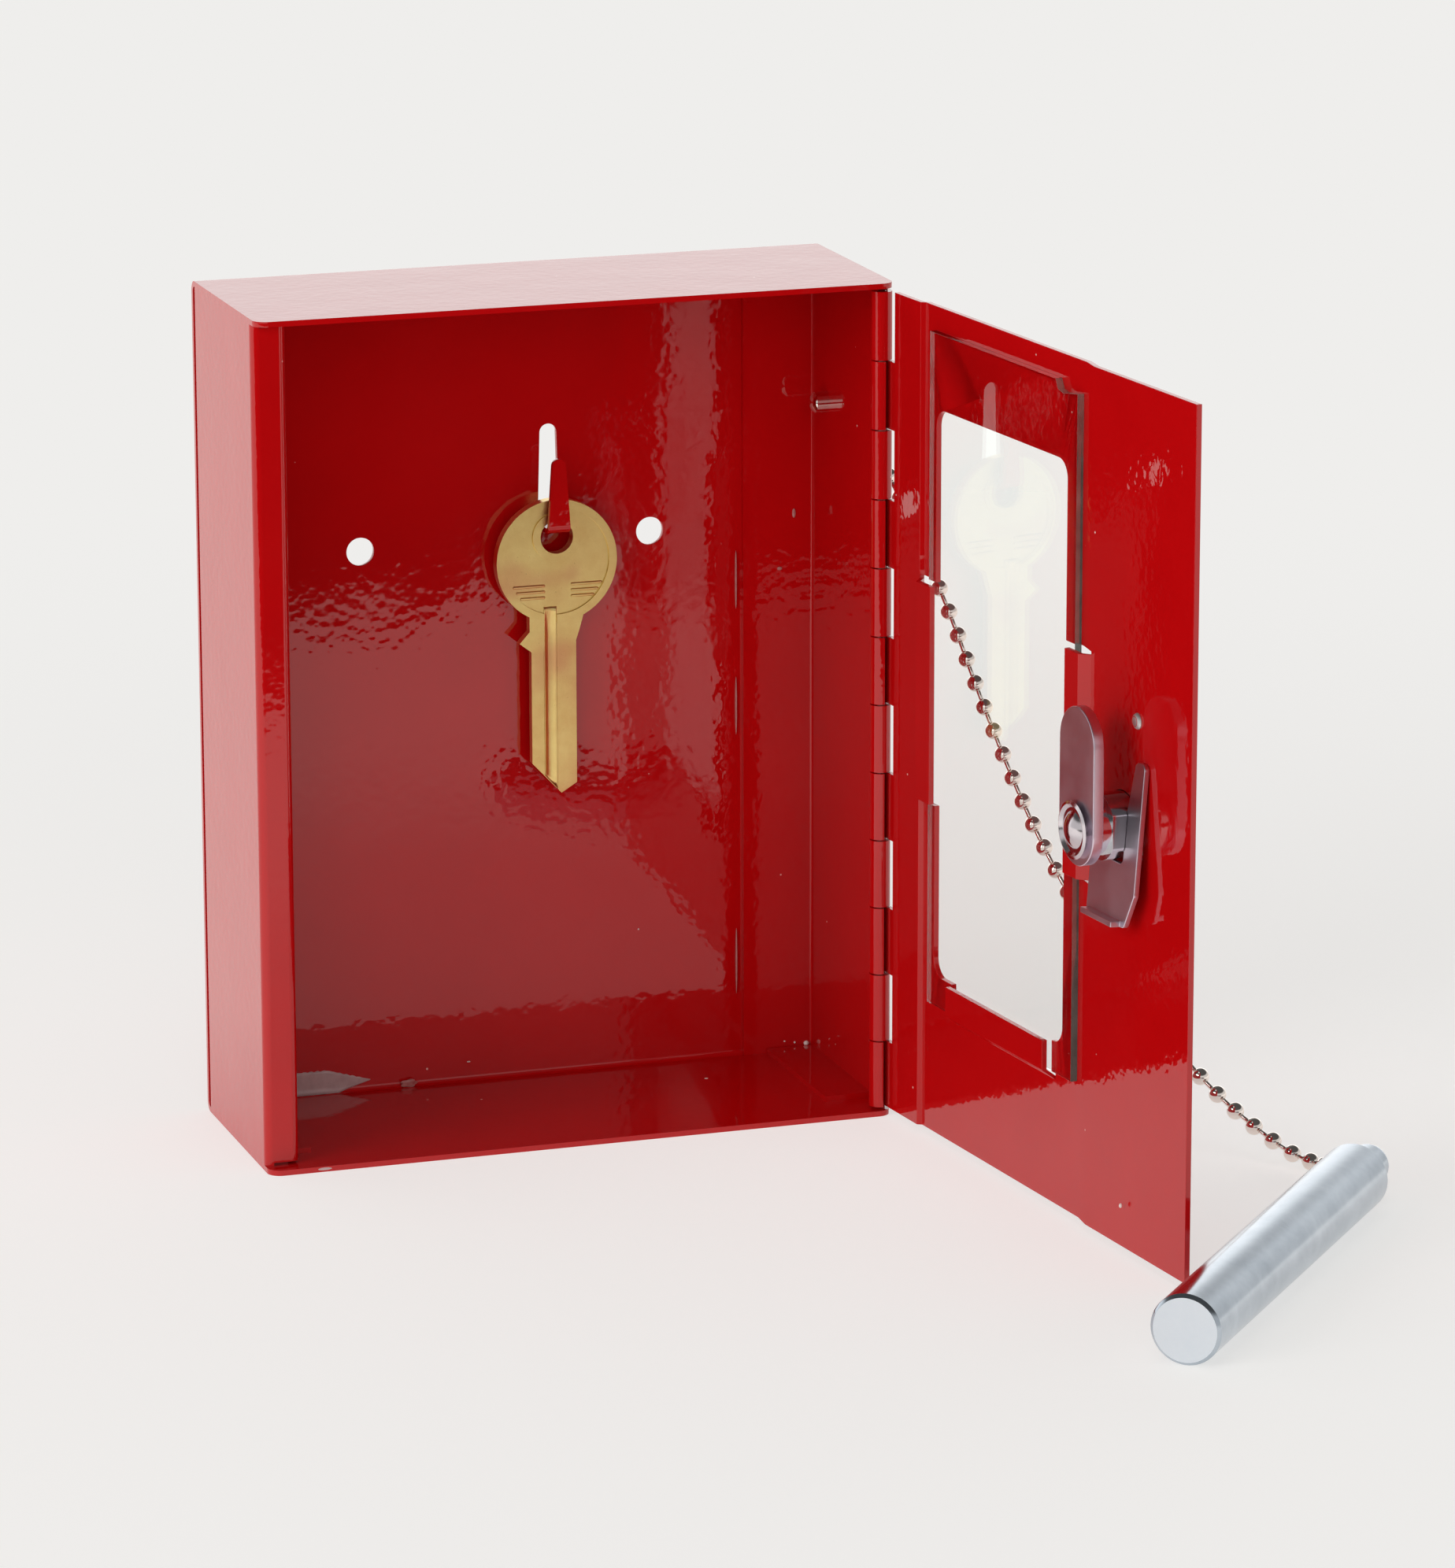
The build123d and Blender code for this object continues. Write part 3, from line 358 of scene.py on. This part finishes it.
# %% The chain's line
bead_diameter = 3.2 * MM
bead_pitch = 4.65 * MM
chain_route = [
    (64.5, 9.3, 121.0), (68.0, 0.8, 111.5), (73.8, -8.4, 95.4), (79.7, -17.8, 72.0), (86.4, -28.7, 49.6),
    (95.1, -42.5, 29.6), (105.1, -58.6, 12.1), (114.3, -73.4, 3.2), (118.3, -81.0, 1.8), (118.4, -89.2, 3.7),
]


def spline_points(name, route):
    """Points of a smooth curve with the route's points as its control points."""
    curve = bpy.data.curves.new(name, "CURVE")
    curve.dimensions = "3D"
    curve.resolution_u = 24
    line = curve.splines.new("NURBS")
    line.points.add(len(route) - 1)
    line.points.foreach_set("co", np.hstack([np.array(route) * MM, np.ones((len(route), 1))]).ravel())
    line.order_u = 3
    line.use_endpoint_u = True
    holder = bpy.data.objects.new(name, curve)
    mesh = bpy.data.meshes.new_from_object(holder)
    points = np.zeros(len(mesh.vertices) * 3)
    mesh.vertices.foreach_get("co", points)
    bpy.data.objects.remove(holder)
    bpy.data.meshes.remove(mesh)
    return points.reshape(-1, 3)


chain_line = spline_points("chain_line", chain_route)
steps = np.linalg.norm(np.diff(chain_line, axis=0), axis=1)
along = np.concatenate([[0], np.cumsum(steps)])
chain_length = along[-1]
print("chain length in mm:", round(chain_length / MM, 1))


def on_line(distance):
    """The point and the direction at a distance along the chain, by interpolation."""
    here = np.stack([np.interp(distance, along, chain_line[:, k]) for k in range(3)], axis=-1)
    ahead = np.stack([np.interp(distance + 0.5 * MM, along, chain_line[:, k]) for k in range(3)], axis=-1)
    behind = np.stack([np.interp(distance - 0.5 * MM, along, chain_line[:, k]) for k in range(3)], axis=-1)
    way = ahead - behind
    return here, way / np.linalg.norm(way, axis=-1, keepdims=True)


# %% Balls and pins
def threaded(profile, places, ways, sides=20):
    """A profile of (along, radius) pairs turned round the line at each place, closed by its ends.
    Each point is place + along * way + radius * (cos t * side + sin t * up)."""
    turn = np.linspace(0, 2 * np.pi, sides, endpoint=False)
    side = np.cross(ways, [0.0, 0.0, 1.0])
    side /= np.linalg.norm(side, axis=-1, keepdims=True)
    up = np.cross(side, ways)
    ring = np.cos(turn)[None, :, None] * side[:, None, :] + np.sin(turn)[None, :, None] * up[:, None, :]
    points = (
        places[:, None, None, :]
        + profile[None, :, 0, None, None] * ways[:, None, None, :]
        + profile[None, :, 1, None, None] * ring[:, None, :, :]
    )
    one = grid_faces(len(profile), sides, wrap=True)
    count = len(profile) * sides
    faces = [tuple(f) for i in range(len(places)) for f in (one[:, ::-1] + i * count)]
    for i in range(len(places)):
        faces.append(tuple(i * count + np.arange(sides)))
        faces.append(tuple(i * count + count - 1 - np.arange(sides)))
    return points.reshape(-1, 3), faces


first_bead = 1.0 * bead_pitch
bead_at = np.arange(first_bead, chain_length - 0.3 * bead_pitch, bead_pitch)
pin_at = np.concatenate([[bead_pitch / 2], bead_at[:-1] + bead_pitch / 2, [chain_length - bead_pitch / 2]])
mouth = 0.32                     # radius of a ball's mouth, as a share of the ball's
angle = np.linspace(np.arcsin(mouth), np.pi - np.arcsin(mouth), 15)
ball_profile = np.stack([-np.cos(angle), np.sin(angle)], axis=-1) * bead_diameter / 2
pin_half = bead_pitch / 2
pin_radius = 0.42 * MM
pin_profile = np.array([[-pin_half, 0.6], [-pin_half * 0.9, 1.0], [pin_half * 0.9, 1.0], [pin_half, 0.6]]) * [1, pin_radius]
ball_points, ball_faces = threaded(ball_profile, *on_line(bead_at))
pin_points, pin_faces = threaded(pin_profile, *on_line(pin_at), sides=10)
offset = len(ball_points)
chain_faces = ball_faces + [tuple(i + offset for i in f) for f in pin_faces]
beads = make_piece("beads", np.vstack([ball_points, pin_points]), chain_faces, "case", nickel_chain)
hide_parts("bead_chain")
print("balls:", len(bead_at))

# %% [markdown]
# ## Small things on the key and the sheet
# Three plain ribs stand on each side of the bow, as on many blanks. The sheet has small marks: a lump
# at the fold, pale pink where its highlight is painted into its colour, a pale grey pointed flake in the
# low left corner, and a bright pressed pip above the lock. Each is a small closed form of its own.

# %% Ribs on the bow
rib_radius = 0.28 * MM
rib_rise = 0.25 * MM      # how far a rib stands out of the bow's face
bow_face = 16.5 * MM      # y of the face inside the rim
rib_spans = [(-1.2, 5.0, 95.3), (-0.6, 5.0, 94.2), (0.2, 5.0, 93.1), (9.9, 15.9, 95.3), (9.9, 15.2, 94.2), (9.9, 14.4, 93.1)]


def rod_profile(length, radius, rings=5):
    """Half of a rod's outline, as (along, radius): a quarter circle, a straight run, a quarter circle."""
    bend = np.linspace(0.12, np.pi / 2, rings)
    start = np.stack([radius * (1 - np.cos(bend)), radius * np.sin(bend)], axis=-1)
    end = np.stack([length - start[::-1, 0], start[::-1, 1]], axis=-1)
    return np.vstack([start, end])


rib_points, rib_faces = [], []
for left, right, level in rib_spans:
    start = np.array([[left * MM, bow_face + rib_radius - rib_rise, level * MM]])
    points, faces = threaded(rod_profile((right - left) * MM, rib_radius), start, np.array([[1.0, 0.0, 0.0]]), sides=12)
    shift = sum(len(block) for block in rib_points)
    rib_points.append(points)
    rib_faces += [tuple(i + shift for i in face) for face in faces]
make_piece("bow_ribs", np.vstack(rib_points), rib_faces, "key", brass)
print("ribs on the bow:", len(rib_spans))

# %% The round-bottomed groove of the blade
groove_middle, groove_half = 5.9, 1.19          # x of its middle and half of its width, in mm
groove_top = 91.3
groove_floor, blade_face, groove_depth = 16.9, 16.3, 0.52
tip_level, tip_rise, tip_x = 56.1, 5.9 / 5.5, 7.8


def groove_lining():
    """Fills the square groove's corners: y = face + depth * (1 - u^2), with u from -1 to 1 across it.
    Its foot ends on the slope of the blade's tip, and its head runs out in a curve."""
    u = np.linspace(-1, 1, 15)[None, :]
    w = np.linspace(0, 1, 40)[:, None]
    x = groove_middle + groove_half * u + 0 * w
    foot = tip_level + 0.1 + tip_rise * (tip_x - x)
    z = groove_top + (foot - groove_top) * w
    run_out = np.clip(w / 0.16, 0, 1) ** 0.5
    y = blade_face + 0.02 + groove_depth * (1 - u**2) * run_out
    skin = np.stack([x, y, z], axis=-1)
    under = np.stack([x, 0 * y + groove_floor - 0.005, z], axis=-1)
    return np.concatenate([skin, under[:, ::-1]], axis=1) * MM


lining = groove_lining()
rows, columns = lining.shape[:2]
lining_faces = [tuple(f) for f in grid_faces(rows, columns, wrap=True)]
lining_faces += [tuple(np.arange(columns)[::-1]), tuple((rows - 1) * columns + np.arange(columns))]
make_piece("blade_groove", lining, [face[::-1] for face in lining_faces], "key", brass)

# %% The pressed pip's bright cap
tinned, tree, shader = new_material("rubbed_bright_metal", Metallic=1.0)
sheen = add(tree, "ShaderNodeTexNoise", {"Vector": on_piece(tree), "Scale": 1 / (0.8 * MM), "Detail": 3.0})
pales = add(tree, "ShaderNodeMix", {0: sheen.outputs["Fac"], 6: linear("E2E0DE"), 7: linear("FCFCFC")}, data_type="RGBA")
tree.links.new(pales.outputs[2], shader.inputs["Base Color"])
shader.inputs["Roughness"].default_value = 0.55

door_angle = np.radians(96.4)
door_along = np.array([-np.cos(door_angle), -np.sin(door_angle), 0.0])
door_inward = np.array([-np.sin(door_angle), np.cos(door_angle), 0.0])
hinge_axis = np.array([57.1, -20.15, 0.0]) * MM
door_face = -0.9 * MM     # the door's inner face, inwards from the hinge's axis
pip_place = hinge_axis + door_along * 97.0 * MM + door_inward * door_face + np.array([0, 0, 95.6 * MM])
pip_radius, pip_height = 1.45 * MM, 0.85 * MM
bend = np.linspace(0, np.pi / 2 - 0.08, 9)
pip_profile = np.stack([pip_height * np.sin(bend), pip_radius * np.cos(bend)], axis=-1)
pip_points, pip_faces = threaded(pip_profile, pip_place[None], door_inward[None], sides=28)
make_piece("pip_cap", pip_points, pip_faces, "door", tinned)

# %% The pale flake and the lump at the fold
panel_face = 21.25 * MM
fold_middle = np.array([20.25, 2.0]) * MM     # y and z of the inside fold's centre
fold_inside = 1.0 * MM
flake_thickness = 0.12 * MM


def on_panel(z):
    """y of the inside of the back: the panel, and below it the fold y = middle + sqrt(r^2 - drop^2)."""
    drop = np.clip(fold_middle[1] - z, 0, 0.95 * fold_inside)
    return fold_middle[0] + np.sqrt(fold_inside**2 - drop**2)


def primer_like(name, pale, dark, roughness):
    """A dull pale paint that drifts between two tones, with a fine bump."""
    material, tree, shader = new_material(name, IOR=1.5, Roughness=roughness)
    cloud = add(tree, "ShaderNodeTexNoise", {"Vector": on_piece(tree), "Scale": 1 / (1.5 * MM), "Detail": 4.0})
    tones = add(tree, "ShaderNodeMix", {0: cloud.outputs["Fac"], 6: linear(dark), 7: linear(pale)}, data_type="RGBA")
    tree.links.new(tones.outputs[2], shader.inputs["Base Color"])
    bump = add(tree, "ShaderNodeBump", {"Height": cloud.outputs["Fac"], "Distance": 0.03 * MM})
    tree.links.new(bump.outputs["Normal"], shader.inputs["Normal"])
    return material


primer = primer_like("bare_primer_chip_and_pale_flake", "CDB6B4", "A98E8D", 0.3)
# Pale pink: on the drips it is their own colour. On the lump it is a painted highlight, and on the three long ridges a
# painted reflection.
pale_paint_and_painted_sheen = primer_like("pale_drip_paint_and_painted_sheen", "C98F8A", "A04A48", 0.2)
# A pale grey pointed flake, 0.12 mm thick, lying on the back and its fold in the low left corner.
flake_left, flake_tip, flake_top, flake_foot = -43.2, -28.2, 5.5, 1.15
columns, rows = 40, 9
x = np.linspace(flake_left, flake_tip, columns)
jag = 0.12 * np.sin(3.1 * x) * np.sin(7.7 * x)
high = np.interp(x, [flake_left, -36.5, flake_tip], [flake_top, flake_top, 3.05]) + jag
low = np.interp(x, [flake_left, -34.3, flake_tip], [flake_foot, flake_foot, 2.95])
level = (low + (high - low) * np.linspace(0, 1, rows)[:, None]) * MM
back = on_panel(level)
wide = np.broadcast_to(x * MM, level.shape)
front_skin = np.stack([wide, back - flake_thickness, level], axis=-1)
back_skin = np.stack([wide, back, level], axis=-1)
loop = np.concatenate([front_skin, back_skin[::-1]], axis=0).transpose(1, 0, 2)
flake_faces = [tuple(f) for f in grid_faces(columns, 2 * rows, wrap=True)]
flake_faces += [tuple(np.arange(2 * rows)[::-1]), tuple((columns - 1) * 2 * rows + np.arange(2 * rows))]
make_piece("pale_pointed_flake", loop, [face[::-1] for face in flake_faces], "case", primer)

# A lump at the fold. Its pale pink stands for its highlight, painted into its colour.
polar = np.linspace(0.1, np.pi - 0.1, 14)[:, None]
around = np.linspace(0, 2 * np.pi, 24, endpoint=False)[None, :]
swell = 1 + 0.22 * np.sin(3 * around + 1) * np.sin(polar) + 0.15 * np.cos(5 * polar)
lump = np.stack([1.5 * np.cos(polar) + 0 * around, 0.55 * np.sin(polar) * np.cos(around), 0.75 * np.sin(polar) * np.sin(around)], axis=-1)
lump = lump * swell[..., None] * MM + np.array([-20.9, 20.75, 1.75]) * MM
lump_faces = [tuple(f) for f in grid_faces(14, 24, wrap=True)] + [tuple(np.arange(24)[::-1]), tuple(13 * 24 + np.arange(24))]
make_piece("lump_with_painted_highlight", lump, [face[::-1] for face in lump_faces], "case", pale_paint_and_painted_sheen)

# %% Drips, painted reflections and specks
def drop(centre, halves, rings=9, sides=14):
    """An ellipsoid round centre: halves * (cos p, sin p cos a, sin p sin a) turned so that p runs along Z."""
    p = np.linspace(0.12, np.pi - 0.12, rings)[:, None]
    a = np.linspace(0, 2 * np.pi, sides, endpoint=False)[None, :]
    unit = np.stack([np.sin(p) * np.sin(a), np.sin(p) * np.cos(a), np.cos(p) + 0 * a], axis=-1)
    faces = [tuple(f) for f in grid_faces(rings, sides, wrap=True)]
    faces += [tuple(np.arange(sides)[::-1]), tuple((rings - 1) * sides + np.arange(sides))]
    return (unit * halves + centre) * MM, faces


def drops(name, places, body, material):
    """Every (centre, halves) of places in one piece."""
    points, faces = [], []
    for centre, halves in places:
        block, block_faces = drop(np.array(centre), np.array(halves))
        shift = sum(len(done) for done in points)
        block = block.reshape(-1, 3)
        points.append(block)
        faces += [tuple(i + shift for i in face) for face in block_faces]
    return make_piece(name, np.vstack(points), faces, body, material)


# The first three are long thin pale ridges at the edge of the right wall's back flange. They are painted reflections of
# the bright gaps between the hinge's knuckles. The last two are small pale drips.
drips_and_gap_reflections = [((43.3, 20.95, 92.7), (0.2, 0.3, 5.6)), ((43.3, 20.95, 68.7), (0.2, 0.3, 5.6)), ((43.3, 20.95, 19.4), (0.2, 0.3, 6.4)),
        ((54.4, 20.2, 104.7), (0.35, 0.25, 0.9)), ((51.6, 20.2, 94.4), (0.5, 0.25, 0.35))]
specks = [((56.8, 19.9, 2.35), (0.5, 0.4, 0.45)), ((54.6, 20.2, 2.6), (0.2, 0.15, 0.2)), ((52.6, 20.2, 3.0), (0.22, 0.12, 0.14)),
          ((-9.2, 21.2, 4.6), (0.35, 0.12, 0.14)), ((33.0, 8.0, 1.02), (0.35, 0.3, 0.1)), ((24.1, 21.2, 27.2), (0.16, 0.1, 0.16))]
drops("drips_and_painted_gap_reflections", drips_and_gap_reflections, "case", pale_paint_and_painted_sheen)
pale_grit = primer_like("pale_grit", "F6EDE8", "D9C4BC", 0.4)
drops("paint_specks", specks, "case", pale_grit)
drops("edge_chip", [((-48.9, -22.18, 0.55), (1.6, 0.12, 0.32))], "case", primer)
drops("door_speck", [((67.64, -114.1, 9.3), (0.3, 0.3, 0.42))], "door", pale_grit)
print("small pieces made on the sheet")

# %% [markdown]
# ## The studio
# The floor is a wide pale sheet, and the light is soft: the open bright room, a large lamp on the
# left and one above. Gloss paint is a dark mirror, so what it reflects matters as much as what
# lights it: the photographer's table ends in front of the box, and the paint shows that edge.
# The floor keeps its shadows near the object, and it is plain far away.

# %% Floor
floor_half = 9.0
plain_from, plain_to = 0.15, 0.6
near_glow = 0.45          # share of plain light close to the object
table_light = 0.38        # the sheet is opal and lit a little from below
table_edge = 0.363        # in front of the box, in metres
edge_blur = 0.006
edge_turn = 0.1           # from here to the right the edge runs away
edge_slant = 1.3

floor_mesh = bpy.data.meshes.new("floor")
corners = [(-floor_half, -floor_half, 0), (floor_half, -floor_half, 0), (floor_half, floor_half, 0), (-floor_half, floor_half, 0)]
floor_mesh.from_pydata(corners, [], [(0, 1, 2, 3)])
floor = bpy.data.objects.new("floor", floor_mesh)
bpy.context.scene.collection.objects.link(floor)
paper, tree, shader = new_material("pale_paper_floor", Roughness=0.9)
shader.inputs["Base Color"].default_value = linear("F4F3F1")
shader.inputs["Specular IOR Level"].default_value = 0.1
rays = add(tree, "ShaderNodeLightPath")
lit = add(tree, "ShaderNodeEmission", {"Color": linear("F4F3F1"), "Strength": table_light})
opal = add(tree, "ShaderNodeAddShader", {0: shader.outputs[0], 1: lit.outputs[0]})
place = add(tree, "ShaderNodeSeparateXYZ", {0: on_piece(tree)})
either = add(tree, "ShaderNodeMath", {0: rays.outputs["Is Camera Ray"], 1: rays.outputs["Is Transmission Ray"]}, operation="MAXIMUM")
away = add(tree, "ShaderNodeVectorMath", {0: on_piece(tree), 1: (0.03, -0.06, 0.0)}, operation="DISTANCE")
far = add(tree, "ShaderNodeMapRange", {"Value": away.outputs["Value"], "From Min": plain_from, "From Max": plain_to, "To Min": near_glow}, interpolation_type="SMOOTHSTEP")
share = add(tree, "ShaderNodeMath", {0: far.outputs["Result"], 1: either.outputs[0]}, operation="MULTIPLY")
pale = add(tree, "ShaderNodeMix", {0: rays.outputs["Is Transmission Ray"], 6: linear("EFEEEC"), 7: linear("FFFFFC")}, data_type="RGBA")
glow = add(tree, "ShaderNodeEmission", {"Color": pale.outputs[2], "Strength": 1.0})
plain = add(tree, "ShaderNodeMixShader", {0: share.outputs[0], 1: opal.outputs[0], 2: glow.outputs[0]})
mirrored = add(tree, "ShaderNodeMath", {0: rays.outputs["Is Glossy Ray"], 1: rays.outputs["Is Transmission Ray"]}, operation="SUBTRACT", use_clamp=True)
bright = add(tree, "ShaderNodeEmission", {"Color": linear("F6F2EE"), "Strength": 1.25})
near = add(tree, "ShaderNodeMapRange", {"Value": away.outputs["Value"], "From Min": 0.06, "From Max": 0.2}, interpolation_type="SMOOTHSTEP")
gloss_share = add(tree, "ShaderNodeMath", {0: near.outputs["Result"], 1: mirrored.outputs[0]}, operation="MULTIPLY")
with_gloss = add(tree, "ShaderNodeMixShader", {0: gloss_share.outputs[0], 1: plain.outputs[0], 2: bright.outputs[0]})
right_of = add(tree, "ShaderNodeMath", {0: place.outputs["X"], 1: edge_turn}, operation="SUBTRACT")
turned = add(tree, "ShaderNodeMath", {0: right_of.outputs[0], 1: 0.0}, operation="MAXIMUM")
slant = add(tree, "ShaderNodeMath", {0: turned.outputs[0], 1: edge_slant, 2: place.outputs["Y"]}, operation="MULTIPLY_ADD")
past = add(tree, "ShaderNodeMapRange", {"Value": slant.outputs[0], "From Min": -table_edge + edge_blur, "From Max": -table_edge - edge_blur})
dark_share = add(tree, "ShaderNodeMath", {0: past.outputs["Result"], 1: mirrored.outputs[0]}, operation="MULTIPLY")
dark = add(tree, "ShaderNodeEmission", {"Color": linear("303030"), "Strength": 0.3})
mixed = add(tree, "ShaderNodeMixShader", {0: dark_share.outputs[0], 1: with_gloss.outputs[0], 2: dark.outputs[0]})
tree.links.new(mixed.outputs[0], tree.nodes["Material Output"].inputs["Surface"])
floor_mesh.materials.append(paper)

# %% Lamps and room
room_light = 0.8
backdrop_light = 1.75
ceiling_share = 0.12      # how much of the room's light comes from straight above

world = bpy.data.worlds.new("studio_room")
bpy.context.scene.world = world
world.use_nodes = True
tree = world.node_tree
room = tree.nodes["Background"]
way = add(tree, "ShaderNodeSeparateXYZ", {0: add(tree, "ShaderNodeTexCoord").outputs["Generated"]})
behind = add(tree, "ShaderNodeMapRange", {"Value": way.outputs["Y"], "From Min": 0.35, "From Max": 0.75, "To Min": room_light, "To Max": backdrop_light}, interpolation_type="SMOOTHSTEP")
ceiling = add(tree, "ShaderNodeMapRange", {"Value": way.outputs["Z"], "From Min": 0.34, "From Max": 0.5, "To Min": 1.0, "To Max": ceiling_share}, interpolation_type="SMOOTHSTEP")
level = add(tree, "ShaderNodeMath", {0: behind.outputs["Result"], 1: ceiling.outputs["Result"]}, operation="MULTIPLY")
room.inputs["Color"].default_value = linear("F4F3F2")
tree.links.new(level.outputs[0], room.inputs["Strength"])


def soft_lamp(name, place, target, size, power, mirrored=True):
    """A rectangular lamp of size metres at place that shines at target; mirrored shows it in gloss."""
    data = bpy.data.lights.new(name, "AREA")
    data.shape = "RECTANGLE"
    data.size, data.size_y = size
    data.energy = power
    lamp = bpy.data.objects.new(name, data)
    bpy.context.scene.collection.objects.link(lamp)
    lamp.visible_glossy = mirrored
    lamp.location = place
    lamp.rotation_euler = (Vector(target) - Vector(place)).to_track_quat("-Z", "Y").to_euler()
    return lamp


middle = (0.02, -0.05, 0.07)
soft_lamp("left_lamp", (-2.2, -0.9, 1.0), middle, (1.6, 1.4), 22, mirrored=False)
soft_lamp("top_lamp", (-0.2, -0.4, 2.2), middle, (1.6, 1.6), 8, mirrored=False)
soft_lamp("front_lamp", (-0.7, -2.2, 1.0), middle, (1.6, 1.2), 6.5, mirrored=False)

scene = bpy.context.scene
scene.view_settings.view_transform = "Standard"
